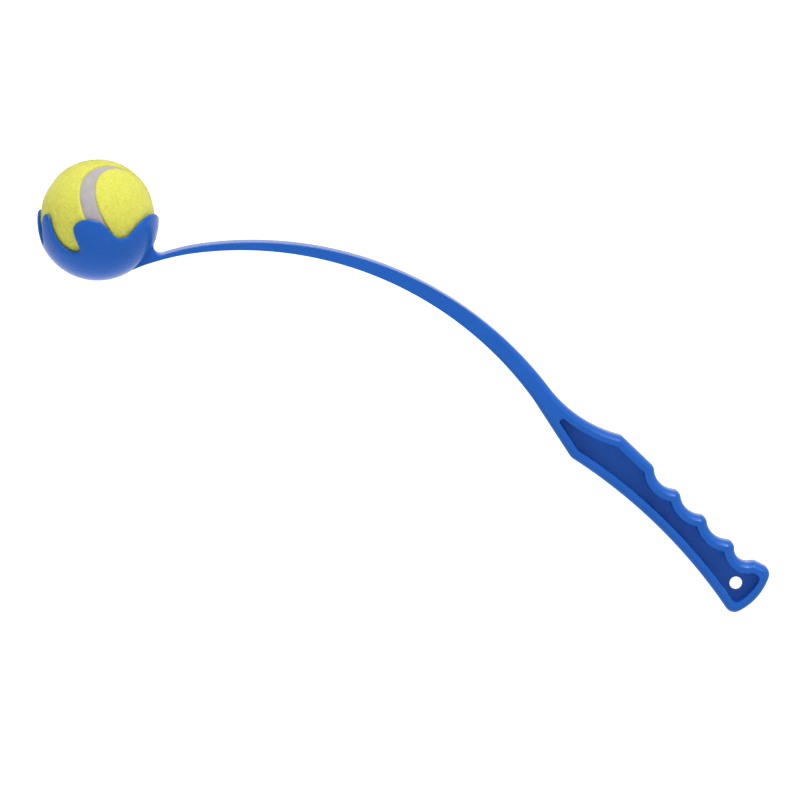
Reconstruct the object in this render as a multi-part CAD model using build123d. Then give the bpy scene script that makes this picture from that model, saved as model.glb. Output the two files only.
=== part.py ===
from build123d import *
import math
import os

# Sizes are in millimetres and angles in degrees.
# The launcher lies in the XZ plane: X runs to the grip's end, Z is up, Y goes across.
# The origin is the centre of the hang hole in the grip.

# Ball: two rubber core halves under two felt panels and a seam strip.
ball_radius = 32.5
felt_thickness = 2.9
core_wall = 3.6
glue_line = 0.1
seam_width = 7.6
seam_sink = 0.5
seam_swing_share = 0.25
ball_turn_x = 10.7
ball_turn_y = -23.6
ball_turn_z = 90.5
seam_steps = 14

# Arm: it leaves the grip's neck on an arc, deep at the neck and thin at the crest and at the cup.
neck_foot = (-116.87, 107.07)
neck_angle = 54.82
arm_bottom_radius = 208.4
neck_thickness = 11.0
crest_thickness = 3.7
tip_thickness = 2.1
arm_tip_width = 14.0
flex_angle = 7.0
flex_travel = 10.5
arm_edge_round = 0.9

# Cup: a bowl that holds the lower half of the ball, cut into petals.
cup_reach = 80.2
cup_sink = 4.1
cup_clearance = 0.3
cup_wall = 2.4
cup_drop = 1.9
cup_height = 9.0
root_fillet = 4.0
root_reach = 1.5
root_sweep = 24.0
petal_turn = 5.0

# Half of the cup's rim, in runs from crest to dip: the angle from the arm, and the height above the
# ball's centre as a share of the ball's radius.
rim_shares = [
    [(0.0, 0.025), (28.0, 0.022), (48.0, -0.025), (60.0, -0.135), (66.5, -0.274), (72.0, -0.326)],
    [(72.0, -0.326), (78.0, -0.255), (91.0, -0.068), (105.0, 0.015)],
    [(105.0, 0.015), (113.5, -0.015), (118.5, -0.142), (119.0, -0.375), (120.0, -0.542), (124.0, -0.615)],
    [(124.0, -0.615), (132.0, -0.542), (140.5, -0.363), (146.0, -0.16), (149.5, 0.025), (154.0, 0.068)],
    [(154.0, 0.068), (160.5, 0.037), (163.5, -0.135), (166.5, -0.363), (172.0, -0.511), (180.0, -0.545)],
]
rim_cut_share = 0.2

# Grip: a rimmed plate with finger hollows along its upper edge.
grip_thickness = 20.0
grip_edge_round = 2.4
shoulder = (-65.4, 84.4)
butt_corner = (18.8, 8.0)
butt_side = (12.4, -5.2)
butt_heel = (-3.9, -16.8)
belly = (-50.5, 39.2)
neck_heel = (-95.5, 73.9)
shoulder_round = 3.0
butt_corner_round = 3.0
butt_heel_round = 5.5
neck_heel_round = 3.0
finger_first = (-43.9, 57.5)
finger_slope = 44.0
finger_pitch = 21.0
ramp_end = 4.4
finger_count = 4
finger_radius = 13.0
last_finger_radius = 9.0
ridge_round = 4.6
last_ridge_round = 3.6
end_ridge_round = 3.0

# Pocket in each side of the grip, with the hang hole in the web between them.
rim_width = 5.6
butt_rim_width = 4.6
web_thickness = 3.0
pocket_start = 19.6
hang_hole_radius = 3.6

os.makedirs("parts", exist_ok=True)


def flat(x, z):
    return Vector(x, 0, z)


def polar(centre, radius, angle):
    a = math.radians(angle)
    return Vector(centre.X + radius * math.sin(a), 0, centre.Z + radius * math.cos(a))


def ray_hit(start, angle, centre, radius):
    # Where a ray that leaves start at an angle from +Z meets a circle from inside.
    a = math.radians(angle)
    direction = Vector(math.sin(a), 0, math.cos(a))
    offset = start - centre
    along = offset.dot(direction)
    reach = -along + math.sqrt(along ** 2 - offset.dot(offset) + radius ** 2)
    return start + direction * reach


def circle_meet(centre, radius, other, other_radius):
    # The angle, from the first circle's centre, of its nearer crossing with the other circle.
    gap = other - centre
    turn = (radius ** 2 + gap.length ** 2 - other_radius ** 2) / (2 * radius * gap.length)
    return math.degrees(math.atan2(gap.X, gap.Z) + math.acos(turn))


def prism(face, thickness):
    return extrude(face, amount=thickness / 2, dir=(0, 1, 0), both=True)


def disc(centre, radius):
    return Pos(centre.X, 0, centre.Z) * (Plane.XZ * Circle(radius))


def near(shapes, point):
    return min(shapes, key=lambda s: (s.center() - point).length)


def pieces(shape):
    return list(shape.solids())


# Arm: the underside's arc ends at the neck, and the bowl sinks into the arc's other end.
neck_bottom = flat(*neck_foot)
bottom_centre = polar(neck_bottom, -arm_bottom_radius, neck_angle)
bowl_radius = ball_radius + cup_clearance + cup_wall
bowl_arm = arm_bottom_radius + bowl_radius - cup_sink
bowl_centre = bottom_centre + flat(-cup_reach, math.sqrt(bowl_arm ** 2 - cup_reach ** 2))
cup_centre = bowl_centre + flat(0, cup_drop)
tip_angle = circle_meet(bottom_centre, arm_bottom_radius, bowl_centre, bowl_radius)


def over_arc(angle, height):
    return polar(bottom_centre, arm_bottom_radius + height, angle)


# The upper face is the arc through the thicknesses at the cup, the crest and the neck.
neck_top = over_arc(neck_angle, neck_thickness)
top_arc = Edge.make_three_point_arc(over_arc(tip_angle, tip_thickness), over_arc(0, crest_thickness), neck_top)
top_centre, arm_top_radius = top_arc.arc_center, top_arc.radius
flex_top = ray_hit(bottom_centre, flex_angle, top_centre, arm_top_radius)
flex_bottom = over_arc(flex_angle, 0)
flex_axis = (flex_top + flex_bottom) * 0.5

ring = disc(top_centre, arm_top_radius) - disc(bottom_centre, arm_bottom_radius)
far = 2 * arm_top_radius
# The springy part runs into the bowl until its underside is inside, and is thinnest there.
stub = over_arc(tip_angle, 0) - bottom_centre - flat(crest_thickness, 0)
stub_angle = math.degrees(math.atan2(stub.X, stub.Z))
stub_top = ray_hit(bottom_centre, stub_angle, top_centre, arm_top_radius)
edge_round = min(arm_edge_round, (stub_top - over_arc(stub_angle, 0)).length / 3)
stiff_sector = make_face(
    Polyline(bottom_centre, over_arc(flex_angle, far), over_arc(neck_angle, far), close=True)
)
stiff_face = ring & stiff_sector

# The springy part stops short of the stiff one in a shallow vee, so that it can turn both ways.
across = (flex_top - flex_bottom).normalized()
along = Vector(-across.Z, 0, across.X)
vee = crest_thickness * math.tan(math.radians(flex_travel))
upper_lip = flex_axis + across * crest_thickness + along * vee
lower_lip = flex_axis - across * crest_thickness + along * vee
spring_sector = make_face(
    Polyline(bottom_centre, lower_lip, flex_axis, upper_lip, over_arc(flex_angle, far),
             over_arc(stub_angle, far), close=True)
)
spring_face = ring & spring_sector

neck_x = (neck_top.X + neck_bottom.X) / 2
cup_x = cup_centre.X


def arm_half_width(x):
    share = (x - cup_x) / (neck_x - cup_x)
    return (arm_tip_width + (grip_thickness - arm_tip_width) * share) / 2


left, right = cup_x - bowl_radius, neck_x + crest_thickness * 4
taper = extrude(
    make_face(Polyline((left, -arm_half_width(left), 0), (right, -arm_half_width(right), 0),
                       (right, arm_half_width(right), 0), (left, arm_half_width(left), 0), close=True)),
    amount=far, dir=(0, 0, 1), both=True,
)


def arm_solid(face):
    # A tapered stretch of the arm with its four long edges rounded.
    solid = pieces(prism(face, grip_thickness * 2) & taper)[0]
    long_edges = [e for e in solid.edges() if e.geom_type != GeomType.LINE and e.length > grip_thickness]
    return pieces(fillet(long_edges, edge_round))[0]


bowl_ball = Pos(bowl_centre) * Rot(0, 0, 180) * Sphere(bowl_radius)
arm = arm_solid(stiff_face)

# A rounded root fills the corner between the springy part's upper face and the bowl.
root_angle = circle_meet(top_centre, arm_top_radius, bowl_centre, bowl_radius)
root_point = polar(top_centre, arm_top_radius, root_angle)
root_up = polar(flat(0, 0), 1, root_angle)
silhouette = spring_face + disc(bowl_centre, bowl_radius)
silhouette = fillet(near(silhouette.vertices(), root_point), root_fillet)
root_face = silhouette & disc(root_point, root_reach * root_fillet)
root_face -= disc(bottom_centre, arm_bottom_radius + crest_thickness / 2)
root_axis = Axis(bowl_centre, root_up)
root = revolve(root_face, root_axis, root_sweep) + revolve(root_face, root_axis, -root_sweep)
strap = arm_solid(spring_face)
arm_tip = max(pieces(strap + (root & taper) - bowl_ball), key=lambda t: t.volume)

# Cup
low = (Align.CENTER, Align.CENTER, Align.MIN)
ball_space = ball_radius + cup_clearance
bowl_top = Pos(bowl_centre + flat(0, cup_height))
bowl = bowl_ball + Pos(bowl_centre) * Cylinder(bowl_radius, cup_height, align=low)
bowl -= Pos(cup_centre) * Sphere(ball_space)
bowl -= Pos(cup_centre) * Cylinder(ball_space, bowl_radius, align=low)
bowl -= bowl_top * Cylinder(bowl_radius * 2, bowl_radius, align=low)


def rim_vector(angle, share):
    a = math.radians(angle + petal_turn)
    return Vector(bowl_radius * math.cos(a), bowl_radius * math.sin(a), ball_radius * share)


def rim_edge(run, scale):
    # A curve through the run's points that is level at both ends, so that the runs join smoothly.
    turn = math.copysign(90, run[-1][0] - run[0][0])
    level = [rim_vector(angle + turn, 0).normalized() for angle, share in (run[0], run[-1])]
    points = [cup_centre + rim_vector(angle, share) * scale for angle, share in run]
    return Edge.make_spline(points, tangents=level)


def rim_strip(run):
    return Face.make_surface_from_curves(rim_edge(run, 1 - rim_cut_share), rim_edge(run, 1 + rim_cut_share))


rim_faces = []
for run in rim_shares:
    rim_faces.append(rim_strip(run))
    rim_faces.append(rim_strip([(-angle, share) for angle, share in run]))
cuts = pieces(bowl)[0].split(Shell(rim_faces), Keep.ALL)
cup = min(cuts, key=lambda c: c.center().Z)

# Ball
core_radius = ball_radius - felt_thickness
felt_inside = core_radius + glue_line
ball_place = Pos(cup_centre) * Rot(ball_turn_x, ball_turn_y, ball_turn_z)
seam_main_share = 1 - seam_swing_share
seam_lift = 2 * math.sqrt(seam_main_share * seam_swing_share)


def seam_out(t):
    return Vector(
        seam_main_share * math.cos(t) + seam_swing_share * math.cos(3 * t),
        seam_main_share * math.sin(t) - seam_swing_share * math.sin(3 * t),
        seam_lift * math.sin(2 * t),
    )


def seam_heading(t):
    return Vector(
        -seam_main_share * math.sin(t) - 3 * seam_swing_share * math.sin(3 * t),
        seam_main_share * math.cos(t) - 3 * seam_swing_share * math.cos(3 * t),
        2 * seam_lift * math.cos(2 * t),
    )


def seam_side(t, side):
    # A direction on one edge of the seam: the seam's own direction leaned by half its width.
    lean = side * seam_width / 2 / ball_radius
    out = seam_out(t)
    return out * math.cos(lean) + out.cross(seam_heading(t)).normalized() * math.sin(lean)


def seam_wall(side):
    # Four ruled faces that point at the ball's centre and close around it along one edge of the seam.
    faces = []
    for k in range(4):
        turns = [math.pi / 2 * (k + i / seam_steps) for i in range(seam_steps + 1)]
        ends = [seam_heading(t).normalized() for t in (turns[0], turns[-1])]
        edges = []
        for radius in (core_radius * (1 - rim_cut_share), ball_radius * (1 + rim_cut_share)):
            edges.append(Edge.make_spline([seam_side(t, side) * radius for t in turns], tangents=ends))
        faces.append(Face.make_surface_from_curves(*edges))
    return Shell(faces)


def shell(outer, inner):
    # Turned so that the spheres' own edges lie clear of the ends of the seam's faces.
    return pieces(Rot(0, 0, 45) * (Sphere(outer) - Sphere(inner)))[0]


def seam_cut(outer):
    # The shell falls into the panel above the seam, the seam and the panel below it.
    found = []
    for body in shell(outer, felt_inside).split(seam_wall(1), Keep.ALL):
        found += list(body.split(seam_wall(-1), Keep.ALL))
    return sorted(found, key=lambda body: body.center().Z)


felt_panel_a, _, felt_panel_b = seam_cut(ball_radius)
_, seam_strip, _ = seam_cut(ball_radius - seam_sink)
core = shell(core_radius, core_radius - core_wall)
core_half_a = core.split(Plane.XY, Keep.TOP)
core_half_b = core.split(Plane.XY, Keep.BOTTOM)

# Grip
slope = math.radians(finger_slope)
grip_run = Vector(math.cos(slope), 0, -math.sin(slope))
grip_out = Vector(math.sin(slope), 0, math.cos(slope))


def finger_place(count, height):
    return flat(*finger_first) + grip_run * (count * finger_pitch) + grip_out * height


neck_out = neck_top - top_centre
neck_heading = Vector(neck_out.Z, 0, -neck_out.X).normalized()
corner, heel = flat(*butt_corner), flat(*butt_heel)
# Over the hollows the outline is raised, so that each ridge is the point where two hollows meet.
last = finger_count - 1
finger_radii = [finger_radius] * last + [last_finger_radius]
ridge_rounds = [ridge_round] * last + [last_ridge_round, end_ridge_round]
grip_edges = [
    Edge.make_tangent_arc(neck_top, neck_heading, flat(*shoulder)),
    *Polyline(flat(*shoulder), finger_place(0, ramp_end), finger_place(0, finger_pitch / 2),
              finger_place(last, finger_pitch / 2), finger_place(last, ramp_end), corner).edges(),
    Edge.make_three_point_arc(corner, flat(*butt_side), heel),
    Edge.make_three_point_arc(heel, flat(*belly), flat(*neck_heel)),
    Edge.make_line(flat(*neck_heel), neck_bottom),
    Edge.make_line(neck_bottom, neck_top),
]
grip_face = Sketch() + Face(Wire(grip_edges))
for point, radius in (
    (shoulder, shoulder_round), (butt_corner, butt_corner_round),
    (butt_heel, butt_heel_round), (neck_heel, neck_heel_round),
):
    grip_face = fillet(near(grip_face.vertices(), flat(*point)), radius)


def hollowed(face, depth):
    for i, radius in enumerate(finger_radii):
        face -= disc(finger_place(i, radius), radius + depth)
    return face


outline = hollowed(grip_face, 0)
for i, radius in enumerate(ridge_rounds):
    outline = fillet(near(outline.vertices(), finger_place(i - 0.5, finger_pitch / 4)), radius)
body = prism(outline, grip_thickness)
neck_middle = (neck_top + neck_bottom) * 0.5
body_edges = []
for side in (1, -1):
    cheek = near(body.faces(), Vector(body.center().X, side * grip_thickness / 2, body.center().Z))
    ends = Vector(neck_middle.X, side * grip_thickness / 2, neck_middle.Z)
    body_edges += [e for e in cheek.edges() if (e.center() - ends).length > crest_thickness]
body = fillet(body_edges, grip_edge_round)


def beside(start, end, gap, side):
    # A wide square whose edge runs a gap inside the line from start to end, on its inner or outer side.
    way = (end - start).normalized()
    inward = Vector(way.Z, 0, -way.X)
    if inward.dot(body_middle - start) < 0:
        inward = -inward
    base = start + inward * gap
    reach = inward * side * far
    return make_face(Polyline(base - way * far, base + way * far, base + way * far + reach,
                              base - way * far + reach, close=True))


def around(edge, gap):
    return disc(edge.arc_center, edge.radius + gap)


body_middle = flat(grip_face.center().X, grip_face.center().Z)
neck_arc, butt_arc, belly_arc = grip_edges[0], grip_edges[-4], grip_edges[-3]
inset = beside(flat(*shoulder), corner, rim_width, 1) & beside(flat(*neck_heel), neck_bottom, rim_width, 1)
inset = inset - around(belly_arc, rim_width)
inset = inset - (beside(corner, heel, butt_rim_width, -1) - around(butt_arc, -butt_rim_width))
inset = inset - around(neck_arc, rim_width) - disc(neck_middle, pocket_start)
inset = near(inset.faces(), body_middle)
pocket = hollowed(inset, rim_width)
for side in (1, -1):
    body -= Pos(0, side * grip_thickness / 2, 0) * prism(pocket, grip_thickness - web_thickness)
body -= Rot(90, 0, 0) * Cylinder(hang_hole_radius, grip_thickness)
handle = pieces(body)[0]

for name, solid in (("handle", handle), ("arm", arm), ("arm_tip", arm_tip), ("cup", cup)):
    export_step(solid, f"parts/{name}.step")
for name, solid in (
    ("felt_panel_a", felt_panel_a), ("felt_panel_b", felt_panel_b), ("seam_strip", seam_strip),
    ("core_half_a", core_half_a), ("core_half_b", core_half_b),
):
    export_step(ball_place * solid, f"parts/{name}.step")
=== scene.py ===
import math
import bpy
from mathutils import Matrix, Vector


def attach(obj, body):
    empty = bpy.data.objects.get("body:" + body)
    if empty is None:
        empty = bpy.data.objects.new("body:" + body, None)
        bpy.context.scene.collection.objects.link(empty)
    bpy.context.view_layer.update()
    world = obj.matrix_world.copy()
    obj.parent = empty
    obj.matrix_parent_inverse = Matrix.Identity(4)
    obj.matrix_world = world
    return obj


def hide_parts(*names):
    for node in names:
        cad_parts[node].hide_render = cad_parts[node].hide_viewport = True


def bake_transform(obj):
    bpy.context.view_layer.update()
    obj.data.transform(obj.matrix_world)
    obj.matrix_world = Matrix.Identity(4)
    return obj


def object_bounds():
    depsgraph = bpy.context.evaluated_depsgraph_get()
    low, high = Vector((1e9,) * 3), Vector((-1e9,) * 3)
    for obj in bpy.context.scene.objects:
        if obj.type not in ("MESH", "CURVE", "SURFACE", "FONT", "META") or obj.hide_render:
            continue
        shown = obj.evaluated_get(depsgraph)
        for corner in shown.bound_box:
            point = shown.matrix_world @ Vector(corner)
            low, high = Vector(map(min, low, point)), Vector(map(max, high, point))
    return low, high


bl_info = {
    "name": "Ball Launcher Dresser",
    "version": (1, 0, 0),
    "blender": (4, 5, 0),
    "location": "View3D > Sidebar > Launcher",
    "description": "Dresses a hand-held ball launcher: moulding, felt ball and plain stage",
    "category": "Add Mesh",
}

import bmesh
import bpy
import numpy as np
from bpy.props import FloatProperty, FloatVectorProperty, IntProperty, PointerProperty
from bpy.types import Operator, Panel, PropertyGroup
from mathutils import Matrix, Vector, noise
from mathutils.geometry import delaunay_2d_cdt

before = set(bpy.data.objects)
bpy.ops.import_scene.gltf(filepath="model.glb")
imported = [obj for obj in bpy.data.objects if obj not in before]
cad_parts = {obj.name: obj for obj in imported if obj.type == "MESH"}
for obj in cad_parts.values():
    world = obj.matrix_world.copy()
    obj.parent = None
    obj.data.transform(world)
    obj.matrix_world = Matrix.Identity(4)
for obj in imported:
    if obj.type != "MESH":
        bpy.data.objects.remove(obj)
CAD_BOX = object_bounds()

# The launcher lies in the XZ plane: X runs to the grip's end, Z is up and Y goes away from the viewer.
# Flat outlines are rows of (x, z), and bearings turn from +Z towards +X.

MM = 0.001
QUARTER = math.pi / 2
FULL_TURN = 2 * math.pi
TINY = 1e-9

# Fineness of the meshes, and the angles above which their edges stay sharp.
CURVE_STEP = 0.35 * MM
STRETCH_STEP = 2.5 * MM
TURN_STEP = math.radians(5)
CUP_PITCH = 1.7 * MM
FELT_PITCH = 1.5 * MM
SEAM_STEPS = 300
DOUBLES_WITHIN = 0.002 * MM
MOULDING_CREASE = math.radians(24)
FELT_CREASE = math.radians(60)
SEAM_CREASE = math.radians(40)

# Half of the cup's rim, in runs between dips and crests: the angle from the arm, and the height above
# the ball's centre as a share of the ball's radius.
RIM_SHARES = (
    ((0.0, -0.01), (12.0, 0.02), (24.0, 0.07), (33.0, 0.085)),
    ((33.0, 0.085), (41.0, 0.065), (49.0, 0.005), (58.0, -0.115), (68.0, -0.295), (74.0, -0.325)),
    ((74.0, -0.325), (80.0, -0.28), (88.0, -0.122), (97.0, 0.012), (107.0, 0.048)),
    (
        (107.0, 0.048), (116.5, 0.012), (122.0, -0.1), (121.7, -0.25), (118.4, -0.47), (118.5, -0.6),
        (125.5, -0.652),
    ),
    ((125.5, -0.652), (135.0, -0.575), (143.0, -0.393), (149.0, -0.14), (153.0, 0.045), (158.0, 0.098)),
    ((158.0, 0.098), (163.5, 0.05), (166.0, -0.12), (168.5, -0.35), (173.0, -0.5), (180.0, -0.54)),
)


def length(name, description, mm):
    return FloatProperty(name=name, description=description, default=mm * MM, unit="LENGTH", precision=4)


def amount(name, description, default):
    return FloatProperty(name=name, description=description, default=default)


def spot(name, description, x, z):
    default = x * MM, z * MM
    return FloatVectorProperty(name=name, description=description, size=2, default=default, unit="LENGTH")


def turn(name, description, degrees):
    return FloatProperty(name=name, description=description, default=math.radians(degrees), subtype="ANGLE")


def direction(name, description, turned, height):
    default = math.radians(turned), math.radians(height)
    return FloatVectorProperty(name=name, description=description, size=2, default=default, subtype="EULER")


def colour(name, description, rgb):
    return FloatVectorProperty(
        name=name, description=description, size=3, default=rgb, min=0, max=1, subtype="COLOR",
    )


class LauncherArm(PropertyGroup):
    neck_foot: spot("Neck foot", "Where the arm's underside leaves the grip", -116.87, 107.07)
    neck_angle: turn("Neck angle", "Bearing of the neck from the centre of the underside's arc", 54.82)
    low_radius: length("Underside radius", "Radius of the arm's underside", 207.6)
    neck_depth: length("Neck depth", "Thickness of the arm at the neck", 11.4)
    crest_depth: length("Crest depth", "Thickness of the arm at its crest", 4.5)
    tip_depth: length("Tip depth", "Thickness of the arm at the cup", 2.8)
    root_from: turn("Root from", "Bearing at which the arm starts to bend down to the cup", -7.0)
    root_radius: length("Root radius", "Radius of that bend", 130.0)
    root_sweep: turn("Root sweep", "How far that bend runs on, into the bowl", 22.0)
    tip_width: length("Tip width", "Width of the arm at the cup", 14.0)
    edge_round: length("Edge round", "Rounding of the arm's long edges", 0.7)


class LauncherCup(PropertyGroup):
    reach: length("Reach", "Distance from the arm's crest to the cup's axis", 80.855)
    sink: length("Sink", "How far the bowl sinks into the arm's arc", 3.51)
    clearance: length("Clearance", "Gap between the ball and the bowl", 0.3)
    wall: length("Wall", "Thickness of the petals", 2.4)
    drop: length("Drop", "How far the bowl's centre lies below the ball's", 1.9)
    petal_turn: turn("Petal turn", "Turn of the petals about the cup's axis", 5.0)
    rim_round: length("Rim round", "Rounding of the petals' edges", 1.8)
    root_fillet: length("Root fillet", "Rounding above the arm where it meets the bowl", 4.8)
    root_edge: length("Root edge", "Rounding of the root's upper edges", 3.0)
    root_span: length("Root span", "Distance over which that rounding dies out", 8.0)
    root_notch: turn("Root notch", "Bearing from the bowl's centre to the root's fillet", 114.0)
    root_bite: length("Root bite", "How far the roundings run into the bowl", 0.25)
    root_depth: length("Root depth", "How far the arm's end reaches into the wall", 2.6)
    root_top: turn("Root top", "Bearing from the bowl's centre where the root ends above", 107.0)
    root_low: turn("Root low", "Bearing from the bowl's centre where the root ends below", 153.0)


class LauncherGrip(PropertyGroup):
    width: length("Width", "Width of the grip across its sides", 20.0)
    edge_round: length("Edge round", "Rounding of the grip's upper edge", 6.5)
    low_round: length("Low round", "Rounding of the grip's lower edge", 4.0)
    edge_turn: turn("Edge turn", "How far the upper edge turns before it meets the side", 57.0)
    low_turn: turn("Low turn", "How far the lower edge turns before it meets the side", 78.0)
    shoulder: spot("Shoulder", "Corner before the first finger hollow", -66.0, 85.85)
    butt_corner: spot("Butt corner", "Upper corner of the butt", 19.95, 8.3)
    butt_ramp: spot("Butt ramp", "Start of the butt's upper side, over the last hollow", 6.2, 14.95)
    butt_side: spot("Butt side", "Middle of the butt's arc", 12.95, -6.65)
    butt_heel: spot("Butt heel", "Lower corner of the butt", -3.45, -17.75)
    belly: spot("Belly", "Middle of the long lower arc", -50.8, 38.85)
    neck_heel: spot("Neck heel", "Corner between the lower arc and the neck", -95.5, 73.9)
    shoulder_round: length("Shoulder round", "Rounding of the shoulder", 4.0)
    corner_round: length("Butt corner round", "Rounding of the butt's upper corner", 5.0)
    heel_round: length("Butt heel round", "Rounding of the butt's lower corner", 6.0)
    neck_round: length("Neck heel round", "Rounding of the neck's corner", 6.0)
    finger_first: spot("First finger", "Deepest point of the first finger hollow", -43.41, 57.8)
    finger_slope: turn("Finger slope", "Slope of the row of finger hollows", 44.0)
    finger_pitch: length("Finger pitch", "Distance between finger hollows", 21.0)
    finger_radius: length("Finger radius", "Radius of the finger hollows", 13.0)
    last_radius: length("Last finger radius", "Radius of the last finger hollow", 8.0)
    last_shift: length("Last finger shift", "How far the last finger hollow moves up the row", 0.9)
    ridge_round: length("Ridge round", "Rounding of the ridges between the hollows", 4.1)
    last_ridge: length("Last ridge round", "Rounding of the ridge before the last hollow", 4.2)
    end_ridge: length("End ridge round", "Rounding of the ridge after the last hollow", 3.8)
    ramp_end: length("Ramp end", "Height over the first hollow at which the ramp starts", 4.4)
    fingers: IntProperty(name="Fingers", description="Number of finger hollows", default=4, min=2)


class LauncherPocket(PropertyGroup):
    rim: length("Rim", "Width of the rim below the pocket and at the neck", 5.5)
    upper_rim: length("Upper rim", "Width of the rim above the pocket", 6.2)
    butt_rim: length("Butt rim", "Width of the rim at the butt", 4.65)
    start: length("Start", "Distance from the neck to the pocket", 18.0)
    web: length("Web", "Thickness of the web between the pockets", 3.0)
    hole_radius: length("Hole radius", "Radius of the hang hole", 3.6)
    corner_round: length("Corner round", "Rounding of the pocket's corners", 3.2)
    tip_round: length("Tip round", "Rounding of the pocket's narrow end", 1.2)
    lip: length("Lip", "Rounding of the pocket's upper edge", 0.55)
    draft: length("Draft", "How far the wall leans in towards the floor", 0.25)
    floor_round: length("Floor round", "Rounding between wall and floor", 0.5)


class LauncherBall(PropertyGroup):
    radius: length("Radius", "Radius of the ball over its felt", 32.5)
    felt: length("Felt", "Thickness of the felt", 2.8)
    seam_width: length("Seam width", "Width of the seam between the felt panels", 9.4)
    pinch: amount("Pinch", "Share by which the felt crowds the seam in two places", 0.85)
    pinch_place: turn("Pinch place", "Where along the seam the felt crowds it", 256.0)
    seam_sink: length("Seam sink", "How far the seam lies below the felt", 0.5)
    seam_crown: length("Seam crown", "How far the seam's edges fall below its middle", 0.3)
    seam_swing: amount("Seam swing", "Share of the seam's third harmonic", 0.25)
    lie: FloatVectorProperty(
        name="Lie", description="How the ball lies in the cup", size=3, subtype="EULER",
        default=(math.radians(14.2), math.radians(-28.7), math.radians(92.1)),
    )
    edge_roll: length("Edge roll", "Rounding of the felt's edge along the seam", 1.3)
    lump: length("Lumps", "Height of the felt's unevenness", 0.16)
    nap_count: amount("Nap count", "Fibres on a square millimetre", 7.0)
    nap_length: length("Nap length", "Length of the felt's fibres", 1.1)
    nap_thickness: length("Nap thickness", "Radius of the felt's fibres", 0.045)
    nap_seed: IntProperty(name="Nap seed", description="Seed for the scatter of the fibres", default=7)


class LauncherFinish(PropertyGroup):
    plastic: colour("Plastic", "Colour of the moulding", (0.011, 0.109, 0.48))
    plastic_deep: colour("Plastic, deep", "Darker tone of the moulding", (0.009, 0.1, 0.446))
    felt: colour("Felt", "Colour of the felt", (0.765, 0.757, 0.135))
    # Painted shade: a darker felt tone that stands for the shade between the fibres, mixed in by noise
    # patches.
    felt_painted_shade: colour("Felt, deep", "Darker tone between the felt's fibres", (0.65, 0.645, 0.085))
    seam: colour("Seam", "Colour of the seam", (0.435, 0.405, 0.41))
    seam_deep: colour("Seam, deep", "Darker tone of the seam", (0.375, 0.35, 0.36))
    rubber: colour("Rubber", "Colour of the ball's core", (0.045, 0.042, 0.04))
    rubber_deep: colour("Rubber, deep", "Darker tone of the ball's core", (0.03, 0.028, 0.027))


class LauncherStage(PropertyGroup):
    distance: length("Distance", "From camera to target", 18000.0)
    azimuth: turn("Azimuth", "Camera's turn about the vertical", -3.5)
    elevation: turn("Elevation", "Camera's height above the launcher", 6.5)
    view_width: length("View width", "Width of the view", 460.4)
    aim: spot("Aim", "Target, right of and above the hang hole in the picture's plane", -193.2, 105.1)
    floor_drop: length("Floor drop", "Floor below the launcher", 160.0)
    floor_radius: length("Floor radius", "Radius of the floor", 9000.0)
    floor_tone: amount("Floor tone", "Grey of the floor's paint", 0.8)
    floor_glow: amount("Floor glow", "Light added so that the floor shows white", 0.3)
    room_light: amount("Room light", "Strength of the light from all around", 0.43)
    key_light: amount("Key light", "Strength of the broad light from above", 2.15)
    key_from: direction("Key from", "Turn and height from which the key light comes", 30.0, 69.0)
    side_light: amount("Side light", "Strength of the light from the left", 0.22)
    side_from: direction("Side from", "Turn and height from which the side light comes", -50.0, 6.0)
    glint_light: amount("Glint", "Strength of the key light's small core", 0.8)
    glint_spread: turn("Glint spread", "Angle that the key light's core fills", 9.0)
    light_spread: turn("Light spread", "Angle that each broad light fills", 45.0)


GROUPS = {
    "launcher_arm": LauncherArm,
    "launcher_cup": LauncherCup,
    "launcher_grip": LauncherGrip,
    "launcher_pocket": LauncherPocket,
    "launcher_ball": LauncherBall,
    "launcher_finish": LauncherFinish,
    "launcher_stage": LauncherStage,
}


# Flat curves

def heading(bearing):
    """The unit vector of a bearing, or a row for each of many."""
    return np.stack((np.sin(bearing), np.cos(bearing)), axis=-1)


def bearing_of(vector):
    return math.atan2(vector[0], vector[1])


def cross(a, b):
    return a[..., 0] * b[..., 1] - a[..., 1] * b[..., 0]


def unit(rows):
    return rows / np.maximum(np.linalg.norm(rows, axis=1), TINY)[:, None]


def arc(centre, radius, start, end):
    count = max(4, int(abs(end - start) * radius / CURVE_STEP))
    return np.asarray(centre) + radius * heading(np.linspace(start, end, count + 1))


def line(start, end):
    start, end = np.asarray(start), np.asarray(end)
    count = max(2, int(np.linalg.norm(end - start) / CURVE_STEP))
    return start + np.linspace(0, 1, count + 1)[:, None] * (end - start)


def circle_through(a, b, c):
    """Centre and radius of the circle through three points."""
    rows = 2 * np.array((b - a, c - a))
    centre = np.linalg.solve(rows, np.array((b @ b - a @ a, c @ c - a @ a)))
    return centre, np.linalg.norm(a - centre)


def arc_through(start, middle, end, grow=0.0):
    """The arc through three points, with its radius grown by a gap."""
    centre, radius = circle_through(start, middle, end)
    first, last = bearing_of(start - centre), bearing_of(end - centre)
    if cross(middle - start, end - middle) > 0:
        last -= FULL_TURN * (last > first)
    else:
        last += FULL_TURN * (last < first)
    return arc(centre, radius + grow, first, last)


def run_on(curve, reach):
    """The curve with a straight run added at both ends, so that its neighbours cross it."""
    ends = []
    for tip, before in ((curve[0], curve[1]), (curve[-1], curve[-2])):
        ends.append(tip + (tip - before) / np.linalg.norm(tip - before) * reach)
    return np.vstack((ends[0], curve, ends[1]))


def left_of(curve, closed=False):
    """Unit normals on the left of the way along a curve."""
    steps = unit(np.diff(np.vstack((curve, curve[:1])) if closed else curve, axis=0))
    before = np.roll(steps, 1, axis=0) if closed else np.vstack((steps[:1], steps))
    after = steps if closed else np.vstack((steps, steps[-1:]))
    way = unit(before + after)
    return np.column_stack((-way[:, 1], way[:, 0]))


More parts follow.
